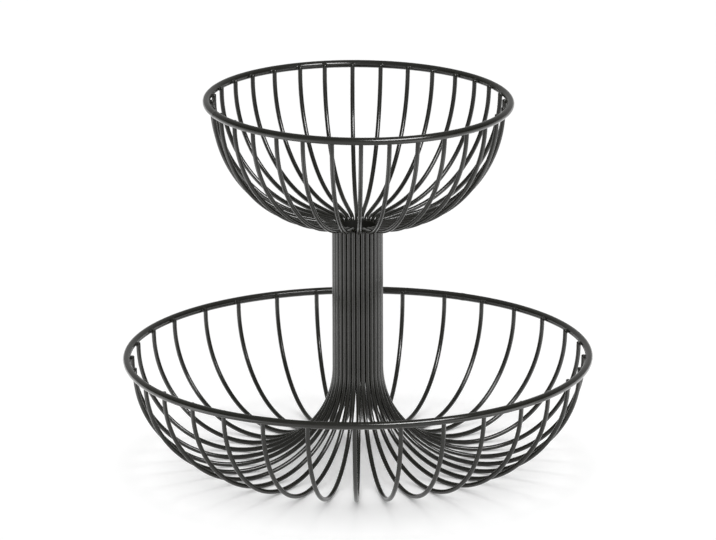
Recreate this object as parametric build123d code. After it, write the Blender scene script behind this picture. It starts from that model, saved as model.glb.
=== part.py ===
from build123d import *
import os
from math import cos, pi, radians, sin

# A two-tier fruit basket of bent steel wire, powder coated black.
# Millimetres and degrees, +Z up. The origin is on the surface that the basket stands on, under the
# middle of its column. Every rib is one wire: it hangs from the upper rim as a wire of the small bowl,
# turns down into the column, flares out at the column's foot and climbs to the lower rim.

# Stock, measured over the coating
rim_rod = 6.1
rib_wire = 3.6
core_wall = 1.5

# The two rims: their outside width, and the height of their tops above the floor
lower_rim_across = 380.7
lower_rim_top = 90.5
upper_rim_across = 249.7
upper_rim_top = 303.3

# The column: its ribs stand side by side in a ring round the core tube
rib_count = 32
rib_gap = 0.08
column_foot = 79.3
column_top = 195.2
core_foot_overhang = 6.0
core_top_overhang = 2.0
core_weld_sink = 0.1

# Where a rib ends at a rim: how far it sinks into the rim at its weld, how long its straight end is,
# and how far that reaches past the height of the rim's middle
rim_weld_sink = 0.3
rib_end_straight = 2.4
rib_end_rise = 1.2

# How a rib's bends share its way. The lowest point of the wide bowl lies this share of the way from
# the column to the lower rim, and each bowl is two arcs that meet after the turn given here. Between
# its tight bend at the mouth and the arcs of the small bowl a rib runs straight.
standing_share = 0.503
foot_turn = 46.0
wall_turn = 38.0
mouth_bend = 5.0
floor_slope = 10.7
floor_run = 20.0
floor_turn = 35.0

# The bundle of ribs is turned a little, and the wires were set by hand: where each one meets a rim,
# counted from its even place there, as a share of the spacing between ribs. Rib 01 is at the front.
bundle_turn = 1.2
lower_place_shares = (
    -0.08, -0.06, -0.08, -0.08, 0.00, -0.04, -0.06, -0.12,
    -0.14, -0.12, -0.10, -0.02, -0.02, -0.06, -0.08, -0.06,
    -0.14, -0.04, -0.08, -0.08, -0.12, -0.04, -0.10, -0.04,
    0.00, -0.06, -0.10, -0.12, -0.08, -0.16, -0.16, -0.12,
)
upper_place_shares = (
    0.08, 0.06, 0.08, 0.14, 0.16, 0.24, 0.20, 0.18,
    0.26, 0.18, 0.28, 0.24, 0.24, 0.24, 0.20, 0.20,
    0.20, 0.20, 0.12, 0.16, 0.18, 0.16, 0.24, 0.26,
    0.06, -0.12, -0.10, -0.06, -0.04, 0.02, 0.04, 0.08,
)

# Headings of the wire as it runs, in the upright plane that holds it
down = -90.0
outward = 0.0
up = 90.0

# Where the counting of the ribs starts, round the column from +X: at the front, on the side of -Y
front = -90.0

# What follows from the sizes above
rim_radius = rim_rod / 2
rib_radius = rib_wire / 2
rib_spacing = 360 / rib_count
column_radius = (rib_wire + rib_gap) / (2 * sin(pi / rib_count))
core_radius = column_radius - rib_radius + core_weld_sink

lower_ring_radius = lower_rim_across / 2 - rim_radius
upper_ring_radius = upper_rim_across / 2 - rim_radius
lower_ring_height = lower_rim_top - rim_radius
upper_ring_height = upper_rim_top - rim_radius
lower_bend_end = lower_ring_height + rib_end_rise - rib_end_straight
upper_bend_end = upper_ring_height + rib_end_rise - rib_end_straight

weld_reach = rim_radius + rib_radius - rim_weld_sink
lower_seat_radius = lower_ring_radius - weld_reach
upper_seat_radius = upper_ring_radius - weld_reach
lower_arm_reach = lower_seat_radius - column_radius
upper_arm_reach = upper_seat_radius - column_radius
standing_reach = standing_share * lower_arm_reach


def two_radii(across, rise, start, middle, end):
    """Radii of two tangent arcs in a row that cover a distance across and a rise between them, when
    the wire heads from start to middle on the first arc and on to end on the second."""
    start, middle, end = radians(start), radians(middle), radians(end)
    first_across, first_rise = sin(middle) - sin(start), cos(start) - cos(middle)
    second_across, second_rise = sin(end) - sin(middle), cos(middle) - cos(end)
    whole = first_across * second_rise - first_rise * second_across
    first = (across * second_rise - rise * second_across) / whole
    second = (rise * first_across - across * first_rise) / whole
    return first, second


def run_of_arcs(point, heading, bends):
    """Tangent arcs in a row from a point along a heading; each bend is a radius and a turn."""
    arcs = []
    for radius, turn in bends:
        direction = (cos(radians(heading)), sin(radians(heading)))
        arcs.append(JernArc(point, direction, radius, turn))
        point = arcs[-1] @ 1
        heading += turn
    return arcs


def stub(arcs):
    """The short straight end of an arm, at its rim."""
    end = arcs[-1] @ 1
    return Line(end, end + Vector(0, rib_end_straight))


def lower_arm():
    """A rib from the column's foot down to where it stands, and up to the lower rim. Like the upper
    arm it is drawn as distance from the rib's place in the column, and height."""
    foot_radii = two_radii(standing_reach, rib_radius - column_foot, down, down + foot_turn, outward)
    wall_radii = two_radii(
        lower_arm_reach - standing_reach, lower_bend_end - rib_radius, outward, wall_turn, up
    )
    turns = (foot_turn, outward - down - foot_turn, wall_turn, up - wall_turn)
    arcs = run_of_arcs((0, column_foot), down, list(zip(foot_radii + wall_radii, turns)))
    return arcs + [stub(arcs)]


def upper_arm():
    """A rib from the column's top, over its tight bend at the mouth, and up to the upper rim."""
    mouth = run_of_arcs((0, column_top), up, [(mouth_bend, floor_slope - up)])
    bent = mouth[0] @ 1
    straight = floor_run * Vector(cos(radians(floor_slope)), sin(radians(floor_slope)))
    mouth.append(Line(bent, bent + straight))
    start = mouth[-1] @ 1
    bowl_radii = two_radii(
        upper_arm_reach - start.X,
        upper_bend_end - start.Y,
        floor_slope,
        floor_slope + floor_turn,
        up,
    )
    turns = (floor_turn, up - floor_slope - floor_turn)
    bowl = run_of_arcs(start, floor_slope, list(zip(bowl_radii, turns)))
    return mouth + bowl + [stub(bowl)]


def lean(place_share, seat_radius):
    """How far an arm swings sideways about its place in the column to reach its place on a rim."""
    swing = place_share * rib_spacing - bundle_turn
    return swing * seat_radius / (seat_radius - column_radius)


def rim(ring_radius, height):
    return Pos(0, 0, height) * Torus(ring_radius, rim_radius)


def core_tube():
    """The tube inside the column that the ribs are welded to. It reaches past their straight runs."""
    section = Circle(core_radius) - Circle(core_radius - core_wall)
    foot = column_foot - core_foot_overhang
    return Pos(0, 0, foot) * extrude(section, column_top + core_top_overhang - foot)


def rib(number, welded_to):
    """One rib, swept along its whole run and notched where it is welded to the other pieces."""
    place = Rot(0, 0, front + bundle_turn + number * rib_spacing) * Pos(column_radius, 0, 0)
    lower_share = lower_place_shares[number % len(lower_place_shares)]
    upper_share = upper_place_shares[number % len(upper_place_shares)]
    runs = (
        (lower_arm(), lean(lower_share, lower_seat_radius)),
        ([Line((0, column_foot), (0, column_top))], 0),
        (upper_arm(), lean(upper_share, upper_seat_radius)),
    )
    edges = []
    for lines, swing in runs:
        for line in lines:
            edges += (place * Rot(0, 0, swing) * (Plane.XZ * line)).edges()
    path = Wire(edges)
    section = Plane(origin=path @ 0, z_dir=path % 0) * Circle(rib_radius)
    return sweep(section, path=path) - welded_to


def main():
    pieces = {
        "lower_rim": rim(lower_ring_radius, lower_ring_height),
        "upper_rim": rim(upper_ring_radius, upper_ring_height),
        "core_tube": core_tube(),
    }
    welded_to = list(pieces.values())
    for number in range(rib_count):
        pieces[f"rib_wire_{number + 1:02d}"] = rib(number, welded_to)

    os.makedirs("parts", exist_ok=True)
    for name, piece in pieces.items():
        export_step(piece, f"parts/{name}.step")


main()
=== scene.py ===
import math
import random

import bpy
import numpy as np
from mathutils import Matrix, Vector


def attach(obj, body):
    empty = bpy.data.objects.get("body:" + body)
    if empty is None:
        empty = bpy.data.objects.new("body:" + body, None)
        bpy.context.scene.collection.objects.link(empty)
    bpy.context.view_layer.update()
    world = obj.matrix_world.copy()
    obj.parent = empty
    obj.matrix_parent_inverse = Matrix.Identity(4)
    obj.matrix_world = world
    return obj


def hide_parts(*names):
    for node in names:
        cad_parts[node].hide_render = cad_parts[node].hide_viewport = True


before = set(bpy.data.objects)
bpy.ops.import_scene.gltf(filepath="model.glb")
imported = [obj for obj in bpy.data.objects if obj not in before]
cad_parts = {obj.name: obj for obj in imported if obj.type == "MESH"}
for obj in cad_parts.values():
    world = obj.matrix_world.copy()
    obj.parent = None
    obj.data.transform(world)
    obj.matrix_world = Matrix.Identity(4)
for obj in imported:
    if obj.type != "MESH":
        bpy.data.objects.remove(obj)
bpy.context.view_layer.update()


# The powder coat on every part of the basket: black polyester powder, sprayed on and baked at about
# 190 degrees. It is a satin black. Close up it has a faint orange peel, because the powder melts and
# draws together into low waves, and a finer grain on top of them. Its black is a very little warm.
mm = 0.001
coat_deep = "#15150e"
coat_pale = "#1d1d16"
coat_ior = 1.54
coat_roughness = (0.16, 0.22)

# Its patches of deeper and paler black, its waves and its grains: their sizes and heights in
# millimetres, how many finer sizes go into each, and the span in which the patches' values lie.
# The real grain is finer, about a tenth of a millimetre, and is drawn as coarse as it needs to show.
coat_patch = 9.0
patch_detail = 3.0
patch_span = (0.3, 0.7)
peel_wave = 1.9
peel_height = 0.0030
peel_detail = 1.0
grain_size = 0.45
grain_height = 0.0010
grain_detail = 2.0


def linear(code):
    """An sRGB hex colour as the linear colour that a shader takes."""
    shares = [int(code[at : at + 2], 16) / 255 for at in (1, 3, 5)]
    return [s / 12.92 if s <= 0.04045 else ((s + 0.055) / 1.055) ** 2.4 for s in shares] + [1.0]


def node(tree, kind, inputs=None, **settings):
    """Adds a node; an input is either a value or the socket that feeds it."""
    made = tree.nodes.new("ShaderNode" + kind)
    for name, value in settings.items():
        setattr(made, name, value)
    for name, value in (inputs or {}).items():
        if isinstance(value, bpy.types.NodeSocket):
            tree.links.new(value, made.inputs[name])
        else:
            made.inputs[name].default_value = value
    return made


def powder_coat(name, sheen, roughness, wave, wave_height):
    """Black polyester powder coat. sheen is how much of a smooth coat's reflection it has, roughness
    its least and most, and wave and wave_height the size and height of its orange peel, in mm."""
    material = bpy.data.materials.new(name)
    material.use_nodes = True
    tree = material.node_tree
    tree.nodes.clear()
    place = node(tree, "TexCoord").outputs["Object"]
    patches = node(
        tree,
        "TexNoise",
        {"Vector": place, "Scale": 1 / (coat_patch * mm), "Detail": patch_detail},
    ).outputs["Fac"]
    tone = node(
        tree,
        "Mix",
        {"Factor": patches, "A": linear(coat_deep), "B": linear(coat_pale)},
        data_type="RGBA",
    )
    gloss = node(
        tree,
        "MapRange",
        {"Value": patches, "From Min": patch_span[0], "From Max": patch_span[1],
         "To Min": roughness[0], "To Max": roughness[1]},
    )
    waves = node(
        tree,
        "TexNoise",
        {"Vector": place, "Scale": 1 / (wave * mm), "Detail": peel_detail},
    ).outputs["Fac"]
    grains = node(
        tree,
        "TexNoise",
        {"Vector": place, "Scale": 1 / (grain_size * mm), "Detail": grain_detail},
    ).outputs["Fac"]
    peel = node(tree, "Bump", {"Height": waves, "Distance": wave_height * mm})
    skin = node(
        tree,
        "Bump",
        {"Height": grains, "Distance": grain_height * mm, "Normal": peel.outputs["Normal"]},
    )
    shader = node(
        tree,
        "BsdfPrincipled",
        {"Base Color": tone.outputs["Result"], "Roughness": gloss.outputs["Result"],
         "Normal": skin.outputs["Normal"], "IOR": coat_ior, "Specular IOR Level": sheen / 2},
    )
    node(tree, "OutputMaterial", {"Surface": shader.outputs["BSDF"]})
    return material


satin_black = powder_coat("satin_black_powder_coat", 1.0, coat_roughness, peel_wave, peel_height)


# The two rims: round steel rod, 6.1 mm over its coat, rolled into rings of 381 and 250 mm, butt
# welded and dressed. The dressed weld is still there as a slight swelling of the rod. From here to
# the core tube, lengths are in millimetres and angles in degrees.
rim_rod = 6.1
lower_rim_across = 380.7
lower_rim_top = 90.5
upper_rim_across = 249.7
upper_rim_top = 303.3
rim_stations = 288
rim_sides = 28

# The butt welds: how far they swell the rod, over what width, how lumpy they are round it, and their
# angles round the basket. For some widths to each side of a weld the rod has closer stations.
butt_weld_swell = 0.22
butt_weld_width = 3.4
butt_weld_lump_share = 0.25
butt_weld_lumps = 3
butt_weld_widths_drawn = 2.0
butt_weld_stations = 24
butt_weld_places = {"lower_rim": 152.0, "upper_rim": -68.5}

# The basket was bent by hand, so its column leans a little to the right and its small bowl more:
# the heights where the column begins and ends, and the two leans in degrees
column_foot = 79.3
column_top = 195.2
column_lean = 0.2
bowl_lean = 0.77

rim_radius = rim_rod / 2
lower_ring_radius = lower_rim_across / 2 - rim_radius
upper_ring_radius = upper_rim_across / 2 - rim_radius
lower_ring_height = lower_rim_top - rim_radius
upper_ring_height = upper_rim_top - rim_radius
upward = np.array([0.0, 0.0, 1.0])


def round_the_column(angle):
    """Outward direction at an angle in degrees, counted from the front (-Y) towards the right (+X)."""
    return np.array([math.sin(math.radians(angle)), -math.cos(math.radians(angle)), 0.0])


def leaning(points):
    """Points of the upright basket, carried to where the leans of its column and bowl put them."""
    x, y, z = np.array(points).T
    up_column = np.clip(z - column_foot, 0, column_top - column_foot)
    carried = up_column * math.tan(math.radians(column_lean))
    turn = math.radians(bowl_lean)
    above = z - column_top
    in_bowl = above > 0
    leant_x = np.where(in_bowl, x * math.cos(turn) + above * math.sin(turn), x) + carried
    leant_z = np.where(in_bowl, column_top + above * math.cos(turn) - x * math.sin(turn), z)
    return np.stack([leant_x, y, leant_z], axis=-1)


def piece(name, points, faces, material, *stands_for):
    """A smooth mesh piece of the basket that rides with it and stands for CAD nodes; points in mm."""
    mesh = bpy.data.meshes.new(name)
    mesh.from_pydata((leaning(points) * mm).tolist(), [], faces)
    mesh.validate()
    mesh.polygons.foreach_set("use_smooth", [True] * len(mesh.polygons))
    mesh.materials.append(material)
    made = bpy.data.objects.new(name, mesh)
    bpy.context.scene.collection.objects.link(made)
    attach(made, "root")
    if stands_for:
        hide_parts(*stands_for)
    return made


def rings_to_mesh(rings, closed):
    """Points and faces of a skin over rings of points; the ends are capped where it isn't closed."""
    count, sides = len(rings), len(rings[0])
    points = np.concatenate(rings)
    faces = []
    for station in range(count if closed else count - 1):
        here, there = station * sides, (station + 1) % count * sides
        for side in range(sides):
            beside = (side + 1) % sides
            faces.append((here + side, here + beside, there + beside, there + side))
    if not closed:
        faces.append(tuple(range(sides))[::-1])
        faces.append(tuple((count - 1) * sides + side for side in range(sides)))
    return points, faces


def rim_piece(node_name, ring_radius, height):
    """A rolled rod, round the column from one side of its butt weld to the other, and then the weld."""
    weld = butt_weld_places[node_name]
    weld_turn = math.degrees(butt_weld_width / ring_radius)
    drawn = butt_weld_widths_drawn * weld_turn
    start, end = weld + drawn, weld + 360 - drawn
    angles = [start + i * (end - start) / rim_stations for i in range(rim_stations)]
    angles += [end + i * 2 * drawn / butt_weld_stations for i in range(butt_weld_stations)]
    around = np.linspace(0, 2 * math.pi, rim_sides, endpoint=False)[:, None]
    # The number of the weld's angle also serves to turn its lumps round the rod
    lumps = 1 - butt_weld_lump_share + butt_weld_lump_share * np.cos(butt_weld_lumps * around + weld)
    rings = []
    for angle in angles:
        half_widths_off = ((angle - weld + 180) % 360 - 180) / (weld_turn / 2)
        rod = rim_radius + butt_weld_swell * math.exp(-(half_widths_off**2)) * lumps
        across, rise = ring_radius + rod * np.cos(around), height + rod * np.sin(around)
        rings.append(round_the_column(angle) * across + upward * rise)
    points, faces = rings_to_mesh(rings, closed=True)
    return piece(node_name + "_rod", points, [face[::-1] for face in faces], satin_black, node_name)


rim_piece("lower_rim", lower_ring_radius, lower_ring_height)
rim_piece("upper_rim", upper_ring_radius, upper_ring_height)


# The ribs: 32 steel wires, 3.6 mm over their coat, each bent in one run from the upper rim, down the
# column and up to the lower rim. They stand side by side round the column, and were set by hand, so
# most of them meet the rims a little beside their even places.
rib_wire = 3.6
rib_count = 32
rib_gap = 0.08

# Where a rib ends at a rim: how far it sinks into the rim at its weld, how long its straight end is,
# and how far that reaches past the height of the rim's middle
rim_weld_sink = 0.3
rib_end_straight = 2.4
rib_end_rise = 1.2

# How a rib's bends share its way. The lowest point of the wide bowl lies this share of the way from
# the column to the lower rim, and each bowl is two arcs that meet after the turn given here. Between
# its tight bend at the mouth and the arcs of the small bowl a rib runs straight.
standing_share = 0.503
foot_turn = 46.0
wall_turn = 38.0
mouth_bend = 5.0
floor_slope = 10.7
floor_run = 20.0
floor_turn = 35.0

# How far the bundle of ribs is turned, and where each rib meets a rim, counted from its even place
# there, as a share of the spacing between ribs. Rib 01 is at the front.
bundle_turn = 1.2
lower_place_shares = (
    -0.08, -0.06, -0.08, -0.08, 0.00, -0.04, -0.06, -0.12,
    -0.14, -0.12, -0.10, -0.02, -0.02, -0.06, -0.08, -0.06,
    -0.14, -0.04, -0.08, -0.08, -0.12, -0.04, -0.10, -0.04,
    0.00, -0.06, -0.10, -0.12, -0.08, -0.16, -0.16, -0.12,
)
upper_place_shares = (
    0.08, 0.06, 0.08, 0.14, 0.16, 0.24, 0.20, 0.18,
    0.26, 0.18, 0.28, 0.24, 0.24, 0.24, 0.20, 0.20,
    0.20, 0.20, 0.12, 0.16, 0.18, 0.16, 0.24, 0.26,
    0.06, -0.12, -0.10, -0.06, -0.04, 0.02, 0.04, 0.08,
)

# Headings of the wire as it runs, in the upright plane that holds it
down = -90.0
outward = 0.0
up = 90.0

# How finely a rib is drawn: the points round it, the longest step and turn along a bend, and the
# rounding of its cut ends
rib_sides = 18
bend_step = 4.0
bend_step_turn = 6.0
cut_edge = 0.9
cut_edge_steps = 3

# How far a rib strays sideways in the column, and how far out from there it is back in its place
column_stray = 0.03
stray_fades = 40.0
stray_seed = 32

rib_radius = rib_wire / 2
rib_spacing = 360 / rib_count
column_radius = (rib_wire + rib_gap) / (2 * math.sin(math.pi / rib_count))
weld_reach = rim_radius + rib_radius - rim_weld_sink
lower_seat_radius = lower_ring_radius - weld_reach
upper_seat_radius = upper_ring_radius - weld_reach
lower_arm_reach = lower_seat_radius - column_radius
upper_arm_reach = upper_seat_radius - column_radius
standing_reach = standing_share * lower_arm_reach
lower_bend_end = lower_ring_height + rib_end_rise - rib_end_straight
upper_bend_end = upper_ring_height + rib_end_rise - rib_end_straight


def heading(degrees):
    """The direction of a heading in degrees, in distance from the column and height."""
    return np.array([math.cos(math.radians(degrees)), math.sin(math.radians(degrees))])


def two_radii(across, rise, start, middle, end):
    """Radii of two tangent bends in a row that cover a distance across and a rise between them, when
    the wire heads from start to middle on the first and on to end on the second."""
    first = heading(start - 90) - heading(middle - 90)
    second = heading(middle - 90) - heading(end - 90)
    return -np.linalg.solve(np.array([first, second]).T, np.array([across, rise]))


def bend(run, start, turn, radius):
    """Carries a run of points on round a bend of that radius, from a heading through a turn."""
    steps = math.ceil(max(abs(turn) / bend_step_turn, radius * math.radians(abs(turn)) / bend_step))
    side = 90 if turn > 0 else -90
    centre = run[-1] + radius * heading(start + side)
    for step in range(1, steps + 1):
        run.append(centre + radius * heading(start - side + turn * step / steps))
    return run


def lower_arm():
    """A rib's run from the column's foot down to where it stands, and up to the lower rim: distance
    from its place in the column, and height."""
    foot = two_radii(standing_reach, rib_radius - column_foot, down, down + foot_turn, outward)
    wall = two_radii(
        lower_arm_reach - standing_reach, lower_bend_end - rib_radius, outward, wall_turn, up
    )
    run = [np.array([0.0, column_foot])]
    bend(run, down, foot_turn, foot[0])
    bend(run, down + foot_turn, outward - down - foot_turn, foot[1])
    bend(run, outward, wall_turn, wall[0])
    bend(run, wall_turn, up - wall_turn, wall[1])
    return run + [run[-1] + rib_end_straight * heading(up)]


def upper_arm():
    """A rib's run from the column's top, over its tight bend at the mouth, and up to the upper rim."""
    run = bend([np.array([0.0, column_top])], up, floor_slope - up, mouth_bend)
    run.append(run[-1] + floor_run * heading(floor_slope))
    across, rise = upper_arm_reach - run[-1][0], upper_bend_end - run[-1][1]
    bowl = two_radii(across, rise, floor_slope, floor_slope + floor_turn, up)
    bend(run, floor_slope, floor_turn, bowl[0])
    bend(run, floor_slope + floor_turn, up - floor_slope - floor_turn, bowl[1])
    return run + [run[-1] + rib_end_straight * heading(up)]


def arm_swing(place_share, seat_radius):
    """Angle, in radians, that takes an arm sideways about its place in the column to that on a rim."""
    swing = place_share * rib_spacing - bundle_turn
    return math.radians(swing * seat_radius / (seat_radius - column_radius))


def wire_rings(path):
    """Rings of points round a path that starts upright, without twist, with the edges of both cut ends
    rounded off."""
    path = np.array(path)
    run = np.gradient(path, axis=0)
    run /= np.linalg.norm(run, axis=1)[:, None]
    side = np.cross(run[0], [0.0, 1.0, 0.0])
    around = np.linspace(0, 2 * math.pi, rib_sides, endpoint=False)[:, None]
    spreads = []
    for ahead in run:
        side = side - ahead * np.dot(side, ahead)
        side /= np.linalg.norm(side)
        spreads.append(np.cos(around) * side + np.sin(around) * np.cross(ahead, side))
    rounding = []
    for step in range(cut_edge_steps):
        turn = math.radians(90 * (cut_edge_steps - step) / cut_edge_steps)
        rounding.append((cut_edge * (1 - math.sin(turn)), rib_radius - cut_edge * (1 - math.cos(turn))))
    rings = [path[0] + run[0] * inset + spreads[0] * reach for inset, reach in rounding]
    rings += [point + spread * rib_radius for point, spread in zip(path[1:-1], spreads[1:-1])]
    rings += [path[-1] - run[-1] * inset + spreads[-1] * reach for inset, reach in reversed(rounding)]
    return rings


random.seed(stray_seed)
upper_run = upper_arm()[::-1]
lower_run = lower_arm()
upper_ends = []
lower_ends = []
for number in range(rib_count):
    out = round_the_column(bundle_turn + number * rib_spacing)
    along = np.array([-out[1], out[0], 0.0])
    stray = random.uniform(-column_stray, column_stray)
    path = []
    for run, swing in (
        (upper_run, arm_swing(upper_place_shares[number], upper_seat_radius)),
        (lower_run, arm_swing(lower_place_shares[number], lower_seat_radius)),
    ):
        ahead = out * math.cos(swing) + along * math.sin(swing)
        for distance, height in run:
            kept = stray * max(0.0, 1 - distance / stray_fades)
            path.append(out * column_radius + ahead * distance + along * kept + upward * height)
    upper_ends.append(path[0])
    lower_ends.append(path[-1])
    points, faces = rings_to_mesh(wire_rings(path), closed=False)
    piece(f"rib_{number + 1:02d}", points, faces, satin_black, f"rib_wire_{number + 1:02d}")


# The welds: a small fillet round the end of each rib, on the inner side of its rim, run on with a torch
# from both sides and from below. The coat lies over them thicker and a little lumpier, but they are
# drawn with the same coat as the rest.
weld_on_rib_side = 1.55
weld_on_rib_below = 2.8
weld_on_rim_side = 2.6
weld_on_rim_below = 2.1
weld_on_rim_above = 2.1

# How far a fillet is drawn in over the cut end of its rib, how far it is hollowed out between rib and
# rim, how deep its edges sink into both and how much smaller they get there
weld_on_end_in = 0.85
weld_hollow_share = 0.72
weld_sink = 0.4
weld_sunk_share = 0.9
weld_size_stray = 0.12
weld_sides = 20
weld_steps = 6


def weld_rings(rib_end, ring_height, size):
    """Rings of one fillet, from its foot on the rib to its toe on the rim. A point is worked out as how
    far it lies along the rim, above the rim's middle, and out from the middle of the rib."""
    out = np.array([rib_end[0], rib_end[1], 0.0])
    out /= np.linalg.norm(out)
    along = np.array([-out[1], out[0], 0.0])
    middle = np.array([rib_end[0], rib_end[1], ring_height])
    feet, crests, toes = [], [], []
    for i in range(weld_sides):
        across_share = math.cos(2 * math.pi * i / weld_sides)
        rise_share = math.sin(2 * math.pi * i / weld_sides)
        above = rise_share > 0
        foot_across = weld_on_rib_side * across_share
        foot_rise = rise_share * (rib_end_rise if above else weld_on_rib_below * size)
        foot_out = math.sqrt(rib_radius**2 - foot_across**2)
        if above:
            foot_out -= weld_on_end_in * rise_share
        toe_across = weld_on_rim_side * across_share * size
        toe_rise = rise_share * (weld_on_rim_above if above else weld_on_rim_below) * size
        toe_out = weld_reach - math.sqrt(rim_radius**2 - toe_rise**2)
        crest_across = weld_hollow_share * (foot_across + toe_across) / 2
        crest_rise = weld_hollow_share * (foot_rise + toe_rise) / 2
        rib_skin = math.sqrt(rib_radius**2 - crest_across**2)
        rim_skin = weld_reach - math.sqrt(rim_radius**2 - crest_rise**2)
        feet.append((foot_across, foot_rise, foot_out))
        crests.append((crest_across, crest_rise, (rib_skin + rim_skin) / 2))
        toes.append((toe_across, toe_rise, toe_out))
    feet, crests, toes = np.array(feet), np.array(crests), np.array(toes)
    sunk = (weld_sunk_share, weld_sunk_share, 1)
    rings = [feet * sunk - (0, 0, weld_sink)]
    for step in range(weld_steps + 1):
        share = step / weld_steps
        rings.append((1 - share) ** 2 * feet + 2 * share * (1 - share) * crests + share**2 * toes)
    rings.append(toes * sunk + (0, 0, weld_sink))
    return [middle + ring[:, :1] * along + ring[:, 1:2] * upward + ring[:, 2:] * out for ring in rings]


def weld_piece(name, rib_ends, ring_height):
    """All the fillets of one rim in one piece. No two are quite the same size."""
    all_points, all_faces, used = [], [], 0
    for rib_end in rib_ends:
        size = 1 + random.uniform(-weld_size_stray, weld_size_stray)
        points, faces = rings_to_mesh(weld_rings(rib_end, ring_height, size), closed=False)
        all_points.append(points)
        all_faces += [tuple(used + corner for corner in face) for face in faces]
        used += len(points)
    return piece(name, np.concatenate(all_points), all_faces, satin_black)


weld_piece("upper_rim_welds", upper_ends, upper_ring_height)
weld_piece("lower_rim_welds", lower_ends, lower_ring_height)


# The core tube: thin steel tube inside the column, which the ribs are welded to. Only its top edge and
# its bore show, from above, and its skin between the ribs. Little powder gets into the bore, so the
# coat there is thin, dull and rough, and its sheen is also turned well down, which paints the deep
# shade of the bore into its coat.
core_wall = 1.5
core_foot_overhang = 6.0
core_top_overhang = 2.0
core_weld_sink = 0.1
core_edge = 0.3
core_sides = 96
thin_coat_and_shade_sheen = 0.25
thin_coat_roughness = (0.62, 0.75)
thin_coat_wave = 0.9
thin_coat_height = 0.02

core_radius = column_radius - rib_radius + core_weld_sink
core_bore = core_radius - core_wall
core_foot = column_foot - core_foot_overhang
core_top = column_top + core_top_overhang

# The outline of the tube's wall, as radius and height, and those of its stretches that lie in the bore
core_outline = (
    (core_radius, core_foot + core_edge), (core_radius, core_top - core_edge),
    (core_radius - core_edge, core_top), (core_bore + core_edge, core_top),
    (core_bore, core_top - core_edge), (core_bore, core_foot + core_edge),
    (core_bore + core_edge, core_foot), (core_radius - core_edge, core_foot),
)
bore_stretches = (3, 4, 5)

core_rings = []
for i in range(core_sides):
    out = round_the_column(360 * i / core_sides)
    core_rings.append(np.array([out * radius + upward * height for radius, height in core_outline]))
points, faces = rings_to_mesh(core_rings, closed=True)
tube = piece("core_tube_skin", points, [face[::-1] for face in faces], satin_black, "core_tube")
# The bore's coat: thin and dull, and darkened by its low sheen as painted shade.
thin_black_and_shade = powder_coat(
    "thin_coat_and_painted_bore_shade", thin_coat_and_shade_sheen, thin_coat_roughness, thin_coat_wave, thin_coat_height
)
tube.data.materials.append(thin_black_and_shade)
for face in tube.data.polygons:
    if face.index % len(core_outline) in bore_stretches:
        face.material_index = 1


# The floor: a sheet of white board on a table. The camera and reflections see it glow on top of the
# light it gets, so that it goes white round the basket while the light on the basket stays plain. The
# glow is uneven and paints the shade under the basket: it lightens the shade under the column and gives
# the shade its soft edge.
floor_half = 6.0
floor_white = "#f4f4f4"

# The glow by the distance from the middle of the shade, as a share of its reach. Lengths from here
# on are in metres.
shade_middle = (0.0, -0.03, 0.0)
glow_reach = 0.60
glow_by_share = (
    (0.0, 0.29), (0.06, 0.26), (0.12, 0.08), (0.15, 0.06), (0.19, 0.11), (0.28, 0.20),
    (0.36, 0.18), (0.46, 0.115), (1.0, 0.07),
)

floor_mesh = bpy.data.meshes.new("floor")
floor_mesh.from_pydata(
    [(x * floor_half, y * floor_half, 0) for x, y in ((-1, -1), (1, -1), (1, 1), (-1, 1))],
    [],
    [(0, 1, 2, 3)],
)
floor = bpy.data.objects.new("floor", floor_mesh)
bpy.context.scene.collection.objects.link(floor)
board = bpy.data.materials.new("white_paper_board")
board.use_nodes = True
tree = board.node_tree
tree.nodes.clear()
ray = node(tree, "LightPath").outputs
seen_or_reflected = node(
    tree,
    "Math",
    {0: ray["Is Camera Ray"], 1: ray["Is Glossy Ray"]},
    operation="ADD",
)
shows_glow = node(
    tree,
    "Math",
    {0: seen_or_reflected.outputs["Value"], 1: ray["Is Transmission Ray"]},
    operation="ADD",
    use_clamp=True,
)
plain = node(tree, "BsdfDiffuse", {"Color": linear(floor_white)})
distance = node(
    tree,
    "VectorMath",
    {0: node(tree, "TexCoord").outputs["Object"], 1: shade_middle},
    operation="DISTANCE",
)
share = node(tree, "Math", {0: distance.outputs["Value"], 1: glow_reach}, operation="DIVIDE")
strength = node(tree, "ValToRGB", {"Fac": share.outputs["Value"]})
stops = strength.color_ramp.elements
for at, grey in glow_by_share:
    stop = stops[0] if at == 0 else stops[-1] if at == 1 else stops.new(at)
    stop.color = (grey, grey, grey, 1)
glow = node(tree, "Emission", {"Color": strength.outputs["Color"], "Strength": 1.0})
glowing = node(tree, "AddShader", {0: plain.outputs["BSDF"], 1: glow.outputs["Emission"]})
either = node(
    tree,
    "MixShader",
    {0: shows_glow.outputs["Value"], 1: plain.outputs["BSDF"], 2: glowing.outputs["Shader"]},
)
node(tree, "OutputMaterial", {"Surface": either.outputs["Shader"]})
floor_mesh.materials.append(board)


# The studio: a pale wall in front of the basket, one behind it, dark sides, a soft ceiling, and two
# overhead lights that shade the floor. A soft box in front on the right draws the line of light along
# the rims and ribs, and pale cards on the floor streak the column.
front_wall_light = 0.66
side_wall_light = 0.10
back_wall_light = 0.45
ceiling_light = 0.33

# Where one wall's light passes into the next, by how far a direction points to the back (+Y) or up
front_wall_spans = (-0.9, -0.3)
back_wall_spans = (0.3, 0.8)
ceiling_spans = (0.1, 0.8)

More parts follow.
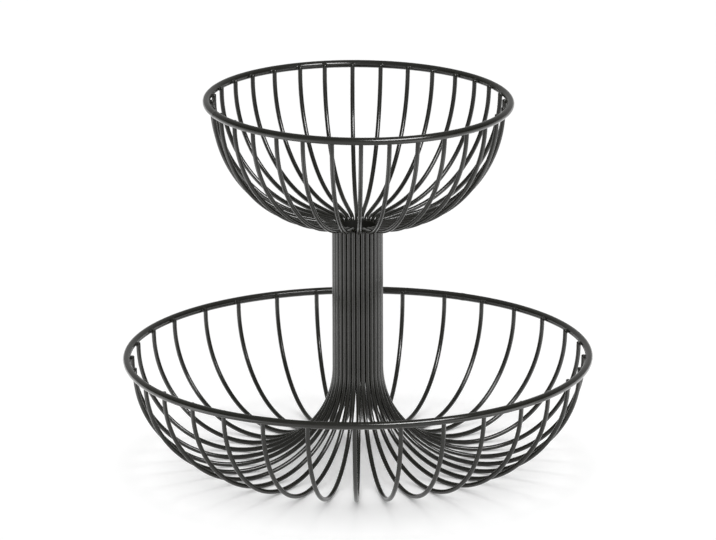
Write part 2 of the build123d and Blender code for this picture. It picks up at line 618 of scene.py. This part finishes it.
# The overhead lights show only on matt surfaces, and the box and the cards only in reflections. A
# light of 1 makes a wall, a panel or a white sheet that faces it as bright as plain white.
overhead_azimuth = 172
overhead_elevation = 76
overhead_lights = {
    "overhead_wide": {"width": 150, "light": 0.62},
    "overhead_narrow": {"width": 16, "light": 0.12},
}
box_azimuth = 32
box_elevation = 42
box_height = 0.15
box_distance = 1.5
box_size = (0.8, 0.45)
box_light = 19.0
card_height = 0.002
cards = {
    "front_left_card": {"azimuth": -54, "distance": 0.50, "size": (0.4, 0.4), "light": 1.5},
    "front_right_card": {"azimuth": 54, "distance": 0.50, "size": (0.4, 0.4), "light": 1.5},
    "left_card": {"azimuth": -120, "distance": 0.60, "size": (0.7, 0.7), "light": 0.7},
    "right_card": {"azimuth": 120, "distance": 0.60, "size": (0.7, 0.7), "light": 0.7},
}

scene = bpy.context.scene
scene.world = bpy.data.worlds.new("studio")
scene.world.use_nodes = True
tree = scene.world.node_tree
tree.nodes.clear()
direction = node(tree, "SeparateXYZ", {"Vector": node(tree, "TexCoord").outputs["Generated"]})
front_and_sides = node(
    tree,
    "MapRange",
    {"Value": direction.outputs["Y"], "From Min": front_wall_spans[0], "From Max": front_wall_spans[1],
     "To Min": front_wall_light, "To Max": side_wall_light},
)
walls = node(
    tree,
    "MapRange",
    {"Value": direction.outputs["Y"], "From Min": back_wall_spans[0], "From Max": back_wall_spans[1],
     "To Min": front_and_sides.outputs["Result"], "To Max": back_wall_light},
)
walls_and_ceiling = node(
    tree,
    "MapRange",
    {"Value": direction.outputs["Z"], "From Min": ceiling_spans[0], "From Max": ceiling_spans[1],
     "To Min": walls.outputs["Result"], "To Max": ceiling_light},
)
room = node(
    tree, "Background", {"Color": (1, 1, 1, 1), "Strength": walls_and_ceiling.outputs["Result"]}
)
white = node(tree, "Background", {"Color": (1, 1, 1, 1), "Strength": 1.0})
either = node(
    tree,
    "MixShader",
    {0: node(tree, "LightPath").outputs["Is Camera Ray"], 1: room.outputs["Background"],
     2: white.outputs["Background"]},
)
node(tree, "OutputWorld", {"Surface": either.outputs["Shader"]})


def toward(azimuth, elevation):
    """The direction of a lamp from the basket; azimuth 0 is where the camera is, 90 the right side."""
    out = Vector(round_the_column(azimuth)) * math.cos(math.radians(elevation))
    out.z = math.sin(math.radians(elevation))
    return out


def light_object(name, kind, place, facing):
    """A lamp of a kind at a place, turned to shine the way it faces."""
    lamp = bpy.data.lights.new(name, kind)
    made = bpy.data.objects.new(name, lamp)
    scene.collection.objects.link(made)
    made.location = place
    made.rotation_mode = "QUATERNION"
    made.rotation_quaternion = facing.to_track_quat("-Z", "Y")
    return made


def panel(name, place, facing, size, light):
    """An area lamp that only reflections show; its light is its radiance."""
    made = light_object(name, "AREA", place, facing)
    made.data.shape = "RECTANGLE"
    made.data.size, made.data.size_y = size
    made.data.energy = light * size[0] * size[1] * math.pi
    made.visible_camera = False
    made.visible_diffuse = False


out = toward(box_azimuth, box_elevation)
panel("front_box", Vector((0, 0, box_height)) + out * box_distance, -out, box_size, box_light)

for name, card in cards.items():
    place = toward(card["azimuth"], 0) * card["distance"] + Vector((0, 0, card_height))
    panel(name, place, Vector((0, 0, 1)), card["size"], card["light"])

for name, sun in overhead_lights.items():
    made = light_object(name, "SUN", Vector(), -toward(overhead_azimuth, overhead_elevation))
    made.data.energy = sun["light"] * math.pi
    made.data.angle = math.radians(sun["width"])
    made.visible_glossy = False


# The camera: at the photograph's angle, 16.3 degrees above the floor, with a long lens 5.2 m away.
# Its focal length was worked out from how the two rims look, in pixels of the photograph. The sensor
# is in millimetres.
camera_rise = 16.31
camera_distance = 5.224
camera_roll = -0.367
camera_aim = Vector((0.0006, 0.0, 0.15975))
sensor_width = 36.0
lens_length_px = 6472.0
frame_width_px = 716.0

look = Vector((0, math.cos(math.radians(camera_rise)), -math.sin(math.radians(camera_rise))))
level = Vector((1, 0, 0))
upright = level.cross(look)
roll = math.radians(camera_roll)
frame_right = level * math.cos(roll) + upright * math.sin(roll)
frame_up = upright * math.cos(roll) - level * math.sin(roll)
lens = bpy.data.cameras.new("camera")
lens.sensor_width = sensor_width
lens.lens = sensor_width * lens_length_px / frame_width_px
camera = bpy.data.objects.new("camera", lens)
scene.collection.objects.link(camera)
stand = Matrix((frame_right, frame_up, -look)).transposed().to_4x4()
stand.translation = camera_aim - look * camera_distance
camera.matrix_world = stand
scene.camera = camera
scene.view_settings.view_transform = "Standard"
